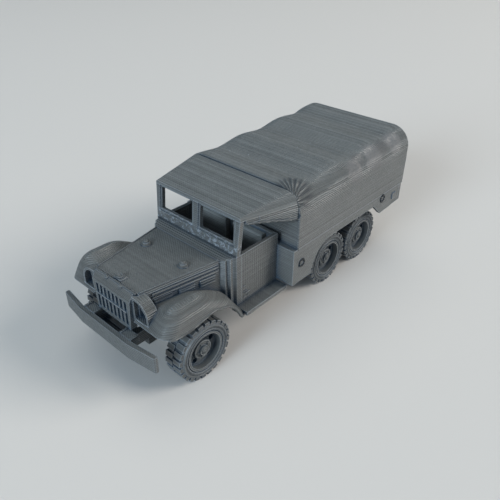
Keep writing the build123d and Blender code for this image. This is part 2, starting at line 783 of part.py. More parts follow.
with BuildPart() as cargo_bed:
    with Locations((0, (bed_front_y + bed_rear_y - tailgate_thickness) / 2, (bed_side_foot_z + seam_z) / 2)):
        Box(bed_width, bed_rear_y - tailgate_thickness - bed_front_y, seam_z - bed_side_foot_z)
    well_front_y = tilt_front_y + wall
    well_rear_y = bed_rear_y - tailgate_thickness
    with Locations((0, (well_front_y + well_rear_y) / 2, (bed_floor_z + seam_z) / 2)):
        Box(bed_width - 2 * wall, well_rear_y - well_front_y, seam_z - bed_floor_z, mode=Mode.SUBTRACT)
    with Locations((0, bed_front_y + wall / 2, (apron_foot_z + bed_side_foot_z) / 2)):
        Box(bed_width, wall, bed_side_foot_z - apron_foot_z)
    with Locations((0, bed_front_y + wall / 2, (apron_foot_z + frame_top_z) / 2)):
        Box(rail_gauge + rail_width + 0.6, wall, frame_top_z - apron_foot_z, mode=Mode.SUBTRACT)
    for side in (1, -1):
        with BuildSketch(Plane.YZ.offset(side * bed_half)):
            with BuildLine():
                Polyline(
                    (bed_front_y, bed_floor_z),
                    (bed_front_y, apron_foot_z),
                    (bed_front_y + front_skirt_length, apron_foot_z),
                )
                skirt_arc = ThreePointArc(
                    (bed_front_y + front_skirt_length, apron_foot_z),
                    (bed_front_y + front_skirt_length + 2.1, apron_foot_z + 5.4),
                    (bed_front_y + front_skirt_length + 6.2, bed_side_foot_z),
                )
                Polyline(
                    skirt_arc @ 1,
                    (bed_front_y + front_skirt_length + 6.2, bed_floor_z),
                    (bed_front_y, bed_floor_z),
                )
            make_face()
            with BuildLine():
                Polyline(
                    (bed_rear_y - rear_skirt_start, bed_floor_z),
                    (bed_rear_y - rear_skirt_start, bed_side_foot_z),
                    (bed_rear_y - rear_skirt_full, rear_skirt_front_z),
                    (bed_rear_y - tailgate_thickness, rear_skirt_rear_z),
                    (bed_rear_y - tailgate_thickness, bed_floor_z),
                    close=True,
                )
            make_face()
        extrude(amount=-side * wall)
        with BuildSketch(Plane.YZ.offset(side * bed_half)):
            with Locations(*marker_table):
                Circle(marker_radius)
                Circle(marker_radius - marker_groove, mode=Mode.SUBTRACT)
        extrude(amount=-side * marker_depth, mode=Mode.SUBTRACT)
    for side in (1, -1):
        with Locations((side * (bed_half + lamp_plate / 2), bed_rear_y - rear_lamp_lead, rear_lamp_z)):
            Box(lamp_plate, rear_lamp_size, rear_lamp_size)
cargo_bed.part.label = "cargo_bed"
export_step(cargo_bed.part, "parts/cargo_bed.step")

with BuildPart() as tailgate:
    with BuildSketch(Plane.XY.offset(rear_skirt_rear_z)):
        with Locations((0, bed_rear_y - tailgate_thickness / 2)):
            Rectangle(bed_width, tailgate_thickness)
    extrude(amount=seam_z - rear_skirt_rear_z)
tailgate.part.label = "tailgate"
export_step(tailgate.part, "parts/tailgate.step")

# Two sills and four bearers carry the bed on the frame.
bearer_height = 1.4
bearer_width = 2.0
sill_front_y = bed_front_y + wall
sill_rear_y = frame_rear_y
bearer_half_length = rear_track / 2 - tyre_width / 2 - 0.6
bearer_ys = (
    sill_front_y + 3.0,
    middle_axle_y - tyre_radius - 3.0,
    (middle_axle_y + rear_axle_y) / 2,
    sill_rear_y - 3.0,
)
with BuildPart() as bed_sills:
    with Locations((0, (sill_front_y + sill_rear_y) / 2, (frame_top_z + bed_side_foot_z) / 2)):
        with GridLocations(rail_gauge, 1, 2, 1):
            Box(rail_width, sill_rear_y - sill_front_y, bed_side_foot_z - frame_top_z)
    for bearer_y in bearer_ys:
        with Locations((0, bearer_y, bed_side_foot_z - bearer_height / 2)):
            Box(2 * bearer_half_length, bearer_width, bearer_height)
bed_sills.part.label = "bed_sills"
export_step(bed_sills.part, "parts/bed_sills.step")

# ---------------------------------------------------------------- tilt
# A canvas cover over four bows; it sags between them and is closed at both ends.
bow_count = 4
bow_sag = 0.9
tilt_shoulder_radius = 6.0
tilt_stations = 2 * bow_count - 1


def tilt_side(inset):
    """Side view of the tilt, drawn in from its faces by the inset."""
    first_y = tilt_front_y + inset
    last_y = rear_y - inset
    last = tilt_stations - 1
    with BuildSketch(Plane.YZ) as view:
        with BuildLine():
            crest = Spline(
                *[
                    (
                        first_y + (last_y - first_y) * index / last,
                        tilt_front_z + (tilt_rear_z - tilt_front_z) * index / last
                        - bow_sag * (index % 2) - inset,
                    )
                    for index in range(tilt_stations)
                ],
                tangents=((1, 0), (1, 0)),
            )
            Polyline(crest @ 1, (last_y, seam_z), (first_y, seam_z), crest @ 0)
        make_face()
    return view.sketch


with BuildPart() as tilt_void:
    extrude(tilt_side(wall), amount=bed_half - wall, both=True)
    fillet(tilt_void.edges().filter_by(GeomType.BSPLINE), tilt_shoulder_radius - wall)

with BuildPart() as cargo_tilt:
    extrude(tilt_side(0), amount=bed_half, both=True)
    fillet(cargo_tilt.edges().filter_by(GeomType.BSPLINE), tilt_shoulder_radius)
    add(tilt_void.part, mode=Mode.SUBTRACT)
cargo_tilt.part.label = "cargo_tilt"
export_step(cargo_tilt.part, "parts/cargo_tilt.step")
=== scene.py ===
import math
import random

import bmesh
import bpy
from mathutils import Matrix, Vector, noise
from mathutils.bvhtree import BVHTree


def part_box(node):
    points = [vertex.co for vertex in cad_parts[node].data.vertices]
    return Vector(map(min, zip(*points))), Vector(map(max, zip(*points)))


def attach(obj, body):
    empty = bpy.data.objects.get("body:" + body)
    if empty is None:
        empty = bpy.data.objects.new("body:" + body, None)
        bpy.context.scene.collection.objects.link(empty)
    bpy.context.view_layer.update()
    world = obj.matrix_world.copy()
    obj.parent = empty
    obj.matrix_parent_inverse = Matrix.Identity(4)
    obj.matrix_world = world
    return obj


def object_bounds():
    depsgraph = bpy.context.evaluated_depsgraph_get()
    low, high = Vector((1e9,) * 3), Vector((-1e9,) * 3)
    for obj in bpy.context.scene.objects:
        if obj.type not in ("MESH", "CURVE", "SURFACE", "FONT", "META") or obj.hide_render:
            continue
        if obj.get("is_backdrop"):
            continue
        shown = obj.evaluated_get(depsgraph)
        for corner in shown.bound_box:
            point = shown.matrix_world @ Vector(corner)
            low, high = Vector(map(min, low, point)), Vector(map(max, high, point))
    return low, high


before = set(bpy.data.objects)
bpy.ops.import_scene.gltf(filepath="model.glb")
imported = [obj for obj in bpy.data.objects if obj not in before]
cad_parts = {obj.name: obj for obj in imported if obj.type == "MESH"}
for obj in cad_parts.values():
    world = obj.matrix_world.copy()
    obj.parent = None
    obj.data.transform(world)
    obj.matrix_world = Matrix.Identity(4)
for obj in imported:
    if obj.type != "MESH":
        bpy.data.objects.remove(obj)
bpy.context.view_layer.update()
scene = bpy.context.scene
scene.view_settings.view_transform = "Standard"
MM = 0.001
SIDES = (("left", 1), ("right", -1))   # the truck's own left is +X; its front looks along -Y


def toward(azimuth, height):
    """Direction at an azimuth from the truck's front to its left, and a height, in degrees."""
    turn = math.radians(azimuth)
    lift = math.radians(height)
    return Vector((
        math.sin(turn) * math.cos(lift),
        -math.cos(turn) * math.cos(lift),
        math.sin(lift),
    ))


# ---------------------------------------------------------------- camera
CAMERA_PLACE = (0.0873, -0.09534, 0.09701)
CAMERA_AZIMUTH = 42.263
CAMERA_HEIGHT = 33.514
CAMERA_ROLL = math.radians(0.295)
CAMERA_LENS = 38.83
CAMERA_SENSOR = 36
CAMERA_NEAR = 0.004
CAMERA_FAR = 20

back = toward(CAMERA_AZIMUTH, CAMERA_HEIGHT)
right = Vector((0, 0, 1)).cross(back).normalized()
up = back.cross(right)
right, up = (
    right * math.cos(CAMERA_ROLL) + up * math.sin(CAMERA_ROLL),
    up * math.cos(CAMERA_ROLL) - right * math.sin(CAMERA_ROLL),
)
lens = bpy.data.cameras.new("camera")
lens.lens = CAMERA_LENS
lens.sensor_width = CAMERA_SENSOR
lens.clip_start = CAMERA_NEAR
lens.clip_end = CAMERA_FAR
camera = bpy.data.objects.new("camera", lens)
turned = Matrix((right, up, back)).transposed().to_4x4()
camera.matrix_world = Matrix.Translation(CAMERA_PLACE) @ turned
scene.collection.objects.link(camera)
scene.camera = camera


# ---------------------------------------------------------------- shader helpers
class Tree:
    """A material's node tree, with one short call for each kind of node."""

    def __init__(self, material):
        self.nodes = material.node_tree.nodes
        self.links = material.node_tree.links
        self.shader = self.nodes["Principled BSDF"]

    def put(self, socket, value):
        """Give a socket a value, or link it where the value is another node's output."""
        if isinstance(value, bpy.types.NodeSocket):
            self.links.new(value, socket)
        else:
            socket.default_value = value

    def math(self, operation, a, b=0.0, c=0.0):
        node = self.nodes.new("ShaderNodeMath")
        node.operation = operation
        for socket, value in zip(node.inputs, (a, b, c)):
            self.put(socket, value)
        return node.outputs[0]

    def ramp(self, value, start, end, low=0.0, high=1.0):
        """A smooth change from low to high while the value goes from start to end."""
        node = self.nodes.new("ShaderNodeMapRange")
        node.interpolation_type = "SMOOTHSTEP"
        for name, amount in (("Value", value), ("From Min", start), ("From Max", end),
                             ("To Min", low), ("To Max", high)):
            self.put(node.inputs[name], amount)
        return node.outputs[0]

    def noise(self, place, scale, detail, rough=0.5):
        node = self.nodes.new("ShaderNodeTexNoise")
        self.put(node.inputs["Vector"], place)
        node.inputs["Scale"].default_value = scale
        node.inputs["Detail"].default_value = detail
        node.inputs["Roughness"].default_value = rough
        return node.outputs["Fac"]

    def place(self):
        """Place on the object in millimetres, its three parts, and how far its face looks up."""
        coords = self.nodes.new("ShaderNodeTexCoord")
        scale = self.nodes.new("ShaderNodeVectorMath")
        scale.operation = "SCALE"
        self.put(scale.inputs[0], coords.outputs["Object"])
        scale.inputs["Scale"].default_value = 1 / MM
        parts = self.nodes.new("ShaderNodeSeparateXYZ")
        self.put(parts.inputs[0], scale.outputs[0])
        facing = self.nodes.new("ShaderNodeSeparateXYZ")
        self.put(facing.inputs[0], coords.outputs["Normal"])
        return scale.outputs[0], parts.outputs, facing.outputs["Z"]

    def row(self, value):
        """A vector that changes with one value only, for a noise that runs in rows."""
        node = self.nodes.new("ShaderNodeCombineXYZ")
        self.put(node.inputs["Z"], value)
        return node.outputs[0]

    def mix(self, share, a, b):
        node = self.nodes.new("ShaderNodeMix")
        node.data_type = "RGBA"
        self.put(node.inputs["Factor"], share)
        self.put(node.inputs["A"], a)
        self.put(node.inputs["B"], b)
        return node.outputs["Result"]

    def shade(self, colour, amount):
        """A colour made lighter or darker by an amount around 1."""
        node = self.nodes.new("ShaderNodeVectorMath")
        node.operation = "SCALE"
        self.put(node.inputs[0], colour)
        self.put(node.inputs["Scale"], amount)
        return node.outputs[0]

    def bump(self, height, depth):
        node = self.nodes.new("ShaderNodeBump")
        node.inputs["Distance"].default_value = depth
        self.put(node.inputs["Height"], height)
        self.links.new(node.outputs[0], self.shader.inputs["Normal"])


def new_material(name, roughness):
    material = bpy.data.materials.new(name)
    material.use_nodes = True
    tree = Tree(material)
    tree.shader.inputs["Roughness"].default_value = roughness
    return material, tree


def lines(tree, along, pitch):
    """A row of rounded strokes, from 0 to 1."""
    wave = tree.math("PINGPONG", along, pitch / 2)
    return tree.math("MULTIPLY", wave, 2 / pitch)


def blend(tree, share, a, b):
    """From a to b as share goes from 0 to 1."""
    return tree.math("MULTIPLY_ADD", share, tree.math("SUBTRACT", b, a), a)


def distance(tree, axes, middle):
    """Distance in millimetres from a middle, measured along the given parts of the place."""
    total = 0.0
    for part, centre in zip(axes, middle):
        step = tree.math("SUBTRACT", part, centre)
        total = tree.math("MULTIPLY_ADD", step, step, total)
    return tree.math("SQRT", total)


# ---------------------------------------------------------------- printed plastic
# Colours. A hollow colour is painted shade: the colour that deep corners and places under edges
# turn to.
GREY = (0.104, 0.109, 0.109)
# pale plastic: real wear in the specks and rubbed marks, and the painted highlight on outer edges
PALE_WEAR_AND_HIGHLIGHT = (0.36, 0.40, 0.45, 1)
# bluish painted shade in corners and under edges
PAINTED_SHADE_GREY = (0.018, 0.04, 0.07, 1)
WALL_PAINTED_SHADE = (0.05, 0.088, 0.135, 1)    # bluish painted shade in the corners of the bed, the cab's back and the grille
SEAT_PAINTED_SHADE = (0.2, 0.19, 0.18, 1)       # warm painted shade in the corners of the seats
SCAR_PAINTED_SHADE = (0.03, 0.034, 0.04, 1)     # painted shade in the bottoms of the comb of scars on the tilt

# Distances between strokes, in millimetres.
WALL_PITCH = 0.5       # layer lines on upright faces
SLOPE_PITCH = 0.24     # layer lines on sloping faces
CROWN_PITCH = 0.62     # steps on faces that are nearly level
RASTER_PITCH = 0.45    # crossed strokes of the nozzle on flat tops
RIB_PITCH = 0.8        # upright ribs of a woven face
THREAD_PITCH = 0.75    # threads across them
LAYER_DEPTH = 0.16     # how deep the strokes are, in millimetres
DIAGONAL = 0.7         # slant of the strokes on flat tops

# How far a face looks up where a kind of face begins, and where it is fully so.
SLOPE = (0.35, 0.6)
CROWN = (0.86, 0.95)
FLAT = (0.9985, 0.9998)

# Noises: scale, detail and, where it isn't the usual one, roughness.
WOBBLE_NOISE = (0.9, 3.0)
ROW_NOISE = (1.0, 4.0, 0.75)
RING_NOISE = (1.6, 3.0, 0.7)
BLOTCH_NOISE = (0.16, 4.0, 0.55)
SPECK_NOISE = (2.6, 1.0)
TORN_NOISE = (1.1, 5.0, 0.75)
GLOSS_NOISE = (1.1, 3.0)
PATCH_NOISE = (0.6, 3.0)

# How far the wobble moves the strokes, in millimetres.
LEVEL_WOBBLE = 0.15
CROWN_WOBBLE = 0.25
RIB_WOBBLE = 0.2

# How fast the shade changes from row to row, on walls and on crowns.
WALL_ROWS = 1.5
CROWN_ROWS = 0.8

# Parts of a noise that are stretched over the whole change of shade.
ROW_SPREAD = (0.32, 0.68)
BLOTCH_SPREAD = (0.3, 0.7)
GLOSS_SPREAD = (0.3, 0.7)
SPECK_SPREAD = (0.74, 0.79)
TORN_SPREAD = (0.5, 0.62)

STROKE_SHADE_AND_HIGHLIGHT = (-0.2, 0.12)      # painted shade in the grooves of the strokes and painted highlight on their ridges
BLOTCH_SHADE = (-0.06, 0.06)
SPECK_SHARE = 0.3                # how pale the specks are
EDGE_HIGHLIGHT_SHARE = 0.6                 # how pale the painted highlight on the outer edges is
EDGE_RADIUS = 0.3 * MM
EDGE_TURN = (0.995, 0.85)        # cosine of its turn where the painted highlight on an edge begins, and is full
EDGE_SAMPLES = 4
# Reach and samples of the search for closed places, which get the painted shade.
HOLLOW_REACH = 2.2 * MM
HOLLOW_SAMPLES = 6
# How open a place is where the painted shade is full, and where it is gone.
OPENNESS = (0.25, 0.95)
SCAR_HEIGHTS = (28.6, 27.6)      # the rubbed marks grow between these heights
SCAR_SHARE = (0.12, 1.0)         # above and below
SCAR_DEPTH = (0.5, 4.0)          # above and below, as a multiple of a stroke's depth
PLASTIC_ROUGHNESS = 0.46
ROUGHNESS = (0.36, 0.52)         # what the gloss noise varies it between


def edge_light(tree):
    """How far a place is on an outer edge, for a painted highlight, and how open it is, for
    painted shade; each from 0 to 1.
    """
    bevel = tree.nodes.new("ShaderNodeBevel")
    bevel.samples = EDGE_SAMPLES
    bevel.inputs["Radius"].default_value = EDGE_RADIUS
    geometry = tree.nodes.new("ShaderNodeNewGeometry")
    turn = tree.nodes.new("ShaderNodeVectorMath")
    turn.operation = "DOT_PRODUCT"
    tree.put(turn.inputs[0], bevel.outputs[0])
    tree.put(turn.inputs[1], geometry.outputs["Normal"])
    edge = tree.ramp(turn.outputs["Value"], *EDGE_TURN)
    hollow = tree.nodes.new("ShaderNodeAmbientOcclusion")
    hollow.samples = HOLLOW_SAMPLES
    hollow.inputs["Distance"].default_value = HOLLOW_REACH
    openness = tree.ramp(hollow.outputs["AO"], *OPENNESS)
    return tree.math("MULTIPLY", edge, openness), openness


def strokes(tree, parts, facing_up, wobble, level):
    """Height of the strokes, and the noise of their rows, by how far a face looks up."""
    x, y = parts[:2]
    upness = tree.math("ABSOLUTE", facing_up)
    is_slope = tree.ramp(upness, *SLOPE)
    is_crown = tree.ramp(upness, *CROWN)
    is_flat = tree.ramp(upness, *FLAT)
    slant_x = tree.math("MULTIPLY", x, DIAGONAL)
    slant_y = tree.math("MULTIPLY", y, DIAGONAL)
    raster = tree.math(
        "MAXIMUM",
        lines(tree, tree.math("ADD", slant_x, slant_y), RASTER_PITCH),
        lines(tree, tree.math("SUBTRACT", slant_x, slant_y), RASTER_PITCH),
    )
    steps = lines(tree, tree.math("MULTIPLY_ADD", wobble, CROWN_WOBBLE, y), CROWN_PITCH)
    height = blend(
        tree, is_slope, lines(tree, level, WALL_PITCH), lines(tree, level, SLOPE_PITCH))
    height = blend(tree, is_crown, height, steps)
    height = blend(tree, is_flat, height, raster)
    along = blend(
        tree, is_crown, tree.math("MULTIPLY", level, WALL_ROWS),
        tree.math("MULTIPLY", y, CROWN_ROWS))
    return height, tree.noise(tree.row(along), *ROW_NOISE)


def printed(name, weave=0.0, scars=0.0, ring=None, extra=None, tone=1.0, streak=0.24,
            hollow=PAINTED_SHADE_GREY):
    """Grey plastic laid in layers.

    weave: strength of upright ribs across the layers; scars: share of pale rubbed marks;
    ring: (y, z) in millimetres of a wheel's middle, round which its strokes run;
    extra: a function that may change the height and the colour; tone: darker below 1, lighter
    above; the canvas, wall, seat and dark copies use it for painted light and shade;
    streak: how much single layers differ in shade; hollow: the colour of the painted shade in
    deep corners.
    """
    material, tree = new_material(name, PLASTIC_ROUGHNESS)
    place, (x, y, z), facing_up = tree.place()
    wobble = tree.noise(place, *WOBBLE_NOISE)
    level = tree.math("MULTIPLY_ADD", wobble, LEVEL_WOBBLE, z)
    if ring:
        radius = distance(tree, (y, z), ring)
        height = lines(tree, radius, WALL_PITCH)
        rows = tree.noise(tree.row(radius), *RING_NOISE)
    else:
        height, rows = strokes(tree, (x, y, z), facing_up, wobble, level)
    if weave:
        ribs = lines(tree, tree.math("MULTIPLY_ADD", wobble, RIB_WOBBLE, y), RIB_PITCH)
        threads = lines(tree, level, THREAD_PITCH)
        height = tree.math("MULTIPLY_ADD", tree.math("ADD", ribs, threads), weave, height)

    blotch = tree.noise(place, *BLOTCH_NOISE)
    shade = tree.math(
        "ADD", tree.ramp(rows, *ROW_SPREAD, 1 - streak, 1 + streak),
        tree.ramp(blotch, *BLOTCH_SPREAD, *BLOTCH_SHADE))
    # Painted shade in the grooves of the strokes and a painted highlight on their ridges.
    shade = tree.math("ADD", shade, tree.ramp(height, 0.0, 1.0 + weave, *STROKE_SHADE_AND_HIGHLIGHT))
    shade = tree.math("MULTIPLY", shade, tone)
    # Painted shade: closed corners and places under edges turn to the hollow colour.
    edge, openness = edge_light(tree)
    colour = tree.mix(openness, hollow, tree.shade(GREY, shade))
    specks = tree.ramp(tree.noise(place, *SPECK_NOISE), *SPECK_SPREAD)
    colour = tree.mix(tree.math("MULTIPLY", specks, SPECK_SHARE), colour, PALE_WEAR_AND_HIGHLIGHT)
    # Painted highlight on outer edges, weaker on darker copies.
    edge_share = EDGE_HIGHLIGHT_SHARE * min(tone, 1) ** 2
    colour = tree.mix(tree.math("MULTIPLY", edge, edge_share), colour, PALE_WEAR_AND_HIGHLIGHT)
    if extra:
        height, colour = extra(tree, place, (x, y, z), height, colour)
    if scars:
        torn = tree.noise(place, *TORN_NOISE)
        rubbed = tree.math(
            "MULTIPLY", tree.ramp(torn, *TORN_SPREAD), tree.ramp(z, *SCAR_HEIGHTS, *SCAR_SHARE))
        colour = tree.mix(tree.math("MULTIPLY", rubbed, scars), colour, PALE_WEAR_AND_HIGHLIGHT)
        deep = tree.ramp(z, *SCAR_HEIGHTS, *SCAR_DEPTH)
        height = tree.math("MULTIPLY_ADD", torn, deep, height)

    tree.put(tree.shader.inputs["Base Color"], colour)
    gloss = tree.noise(place, *GLOSS_NOISE)
    tree.put(tree.shader.inputs["Roughness"], tree.ramp(gloss, *GLOSS_SPREAD, *ROUGHNESS))
    tree.bump(height, LAYER_DEPTH * MM)
    return material


# The marks on the tilt, in millimetres.
SHOULDER_INSET = 2.0         # in from the tilt's side
CREST_DROP = 4.0             # down from its top
# columns: place behind the tilt's front, distance below the crest, radius, brightness (the
# patch's slightly red colour with painted light and shade of the sags: some lighter, some darker)
PATCHES = (
    (24.5, 1.2, 4.0, 0.125),
    (28.0, -1.6, 3.0, 0.065),
    (34.0, 0.2, 4.4, 0.13),
    (39.5, -1.6, 3.2, 0.07),
    (45.5, -1.2, 3.8, 0.13),
)
PATCH_TINT = (1, 0.955, 0.98)
PATCH_WAVER = 2.8            # how far the noise moves a patch's edge
PATCH_FADE = 1.6             # how wide that edge is
PATCH_FLATTEN = 0.5          # share of the strokes that a patch takes away
PATCH_HEIGHT = 0.5
PATCH_SHARE = 0.55           # how strongly it colours
COMB_PLACE = (-1.5, 2.0, 1.5)    # from the shoulder, the front and the crest
COMB_HUB = (1.0, -2.0)       # the teeth spread from here; from the shoulder and the front
COMB_REACH = (6.5, 3.5)      # distance at which the comb begins, and is full
TOOTH_PITCH = 0.16           # in radians
TOOTH_DEPTH = 2.2
TOOTH_SPREAD = (0.3, 0.9)
TOOTH_SHARE = (0.75, 0.0)    # how dark the painted shade is at the bottoms and the tops of the teeth


def tilt_marks(tree, place, parts, height, colour):
    """Smooth, slightly red patches at the left shoulder with painted light and shade of the sags,
    and a comb of scars by its front end with painted shade in their bottoms.
    """
    x, y, _ = parts
    low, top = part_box("cargo_tilt")
    front = low.y / MM
    shoulder = top.x / MM - SHOULDER_INSET
    crest = top.z / MM - CREST_DROP
    for behind, below, reach, bright in PATCHES:
        away = distance(tree, parts, (shoulder, front + behind, crest - below))
        wavy = tree.math("MULTIPLY_ADD", tree.noise(place, *PATCH_NOISE), PATCH_WAVER, away)
        smooth = tree.ramp(wavy, reach, reach + PATCH_FADE, 1.0, 0.0)
        flat = tree.math("MULTIPLY", smooth, PATCH_FLATTEN)
        height = blend(tree, flat, height, PATCH_HEIGHT)
        # The brightness paints the sags' light and shade onto the patch's slightly red colour.
        tint = (*(bright * part for part in PATCH_TINT), 1)
        colour = tree.mix(tree.math("MULTIPLY", smooth, PATCH_SHARE), colour, tint)
    centre = [a + b for a, b in zip((shoulder, front, crest), COMB_PLACE)]
    comb = tree.ramp(distance(tree, parts, centre), *COMB_REACH)
    turn = tree.math(
        "ARCTAN2",
        tree.math("SUBTRACT", x, shoulder + COMB_HUB[0]),
        tree.math("SUBTRACT", y, front + COMB_HUB[1]),
    )
    teeth = lines(tree, turn, TOOTH_PITCH)
    height = tree.math("MULTIPLY_ADD", tree.math("MULTIPLY", comb, teeth), TOOTH_DEPTH, height)
    # Painted shade at the bottoms of the scars.
    dark = tree.math("MULTIPLY", comb, tree.ramp(teeth, *TOOTH_SPREAD, *TOOTH_SHARE))
    return height, tree.mix(dark, colour, SCAR_PAINTED_SHADE)


# Painted light: the canvas, the bed and the cab's back are made lighter than the other plastic.
CANVAS_PAINTED_LIGHT = 1.16
CANVAS_STREAK = 0.42
plastic = printed("plastic")
# Painted shade: a darker copy of the plastic for the plate behind the bumper and the seam under
# the windshield.
plastic_in_painted_shade = printed("plastic_painted_shade", tone=0.42)
# Painted shade: a very dark copy of the plastic for the marker rings, standing for the shade in
# their grooves.
plastic_painted_groove_shade = printed("plastic_painted_groove_shade", tone=0.18)
plastic_pale = printed("plastic_pale", tone=1.9)
plastic_tilt = printed("plastic_tilt", extra=tilt_marks, tone=CANVAS_PAINTED_LIGHT, streak=CANVAS_STREAK)
plastic_wall = printed("plastic_wall", tone=CANVAS_PAINTED_LIGHT, streak=0.2, hollow=WALL_PAINTED_SHADE)
node_plastic = {
    "windshield_frame": printed("plastic_scarred", scars=0.75),
    "cargo_tilt": plastic_tilt,
    "cab_roof": printed("plastic_roof", tone=CANVAS_PAINTED_LIGHT, streak=CANVAS_STREAK),
    "cargo_bed": plastic_wall,
    "cab_back": plastic_wall,
    "radiator_grille": printed("plastic_nose", hollow=WALL_PAINTED_SHADE),
}
plastic_weave = printed("plastic_weave", weave=0.55)
# Painted light: the seats are made much lighter than the other plastic.
plastic_seat_painted_light = printed("plastic_seat_painted_light", tone=2.6, hollow=SEAT_PAINTED_SHADE)
for name, side in SIDES:
    node_plastic["door_" + name] = plastic_weave
    node_plastic["seat_" + name] = plastic_seat_painted_light

WHEEL_TONE = 0.95
wheel_plastic = {}           # one material for each axle, as its strokes run round the wheels
for node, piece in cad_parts.items():
    piece.data.materials.clear()
    if node.startswith("wheel_"):
        axle = node.split("_")[1]
        if axle not in wheel_plastic:
            low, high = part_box(node)
            middle = (low + high) / 2 / MM
            wheel_plastic[axle] = printed(
                "plastic_" + axle + "_wheels", ring=(middle.y, middle.z), tone=WHEEL_TONE)
        piece.data.materials.append(wheel_plastic[axle])
    else:
        piece.data.materials.append(node_plastic.get(node, plastic))


# ---------------------------------------------------------------- mesh helpers
# Places are in metres. Radii, profiles and bevels, and from here on every named length that
# isn't multiplied by MM where it is named, are in millimetres.
UNEVEN_SCALE = 1.7           # how fast a rod's unevenness changes along it, per millimetre
OUTSIDE = 0.1                # a distance from the middle that is clear of the truck
FOOT_POINTS = 60
FOOT_STEP = 0.06 * MM
BEVEL = 0.1
SOFTEN_PASSES = 3


def finish_piece(name, mesh, body, material):
    """Turn a bmesh into a piece that rides on a body."""
    data = bpy.data.meshes.new(name)
    bmesh.ops.recalc_face_normals(mesh, faces=mesh.faces)
    for face in mesh.faces:
        face.smooth = True
    mesh.to_mesh(data)
    mesh.free()
    data.materials.append(material)
    piece = bpy.data.objects.new(name, data)
    scene.collection.objects.link(piece)
    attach(piece, body)


def join_rings(mesh, rings):
    """Faces between each ring and the next, and a lid on both ends."""
    sides = len(rings[0])
    for one, two in zip(rings, rings[1:]):
        for side in range(sides):
            after = (side + 1) % sides
            mesh.faces.new((one[side], one[after], two[after], two[side]))
    mesh.faces.new(rings[0])
    mesh.faces.new(rings[-1])


def tube(mesh, path, radius, rough, sides=8):
    """A rod along a path; rough is how unevenly it is laid, as a share of its radius."""
    rings = []
    for index, point in enumerate(path):
        before = path[max(index - 1, 0)]
        after = path[min(index + 1, len(path) - 1)]
        turn = (after - before).to_track_quat("Z", "Y").to_matrix()
        ring = []
        for side in range(sides):
            angle = 2 * math.pi * side / sides
            spot = Vector((math.cos(angle), math.sin(angle), 0))
            uneven = noise.noise(point / MM * UNEVEN_SCALE + spot) * rough
            ring.append(mesh.verts.new(point + turn @ spot * radius * MM * (1 + uneven)))
        rings.append(ring)
    join_rings(mesh, rings)


def lathe(mesh, profile, origin, axis, steps=32):
    """A turned form: the profile's columns are distance along the axis and radius."""
    turn = Vector(axis).to_track_quat("Z", "Y").to_matrix()
    rings = []
    for along, radius in profile:
        ring = []
        for step in range(steps):
            angle = 2 * math.pi * step / steps
            spot = Vector((
                math.cos(angle) * radius * MM, math.sin(angle) * radius * MM, along * MM))
            ring.append(mesh.verts.new(Vector(origin) + turn @ spot))
        rings.append(ring)
    join_rings(mesh, rings)


def block(mesh, low, high, bevel=BEVEL):
    """A block between two corners, with its edges rounded."""
    made = bmesh.ops.create_cube(mesh, size=1)
    size = Vector(high) - Vector(low)
    middle = (Vector(high) + Vector(low)) / 2
    for vertex in made["verts"]:
        vertex.co = vertex.co * size + middle
    # A dict keeps the edges in their order; a set's order changes from run to run.
    edges = dict.fromkeys(edge for vertex in made["verts"] for edge in vertex.link_edges)
    bmesh.ops.bevel(
        mesh, geom=list(edges), offset=bevel * MM, segments=2, affect="EDGES", profile=0.5)


def across(half, y, z, steps):
    """Points of a level line across the truck, with so many steps on each side."""
    return [Vector((half * step / steps, y, z)) for step in range(-steps, steps + 1)]


def circle(x, y, z, radius, steps):
    """Points of an upright circle whose middle is at x, y, z; its radius is in millimetres."""
    points = []
    for step in range(steps + 1):
        angle = 2 * math.pi * step / steps
        points.append(Vector((
            x, y + math.cos(angle) * radius * MM, z + math.sin(angle) * radius * MM)))
    return points


def surface(node):
    """A node's shape, for finding places on it."""
    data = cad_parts[node].data
    return BVHTree.FromPolygons(
        [vertex.co for vertex in data.vertices], [face.vertices for face in data.polygons])


def side_spot(shape, side, y, z):
    """The outermost place of a shape at y, z, or None."""
    return shape.ray_cast(Vector((side * OUTSIDE, y, z)), Vector((-side, 0, 0)))[0]


def top_spot(shape, x, y):
    """The highest place of a shape at x, y."""
    return shape.ray_cast(Vector((x, y, OUTSIDE)), Vector((0, 0, -1)))[0]


def foot_line(node, side, start, end, heights, least):
    """Lower edge of a node's outer face from place start to place end, as points.

    heights: lowest and highest height to search; least: nearest to the middle that counts.
    """
    shape = surface(node)
    path = []
    for index in range(FOOT_POINTS):
        y = start + (end - start) * index / (FOOT_POINTS - 1)
        z = heights[0] * MM
        while z < heights[1] * MM:
            spot = side_spot(shape, side, y, z)
            if spot and side * spot.x > least:
                path.append(spot)
                break
            z += FOOT_STEP
    return path


def soften(path):
    """Even out the small steps of a searched path."""
    for _ in range(SOFTEN_PASSES):
        between = [(a + 2 * b + c) / 4 for a, b, c in zip(path, path[1:], path[2:])]
        path = path[:1] + between + path[-1:]
    return path


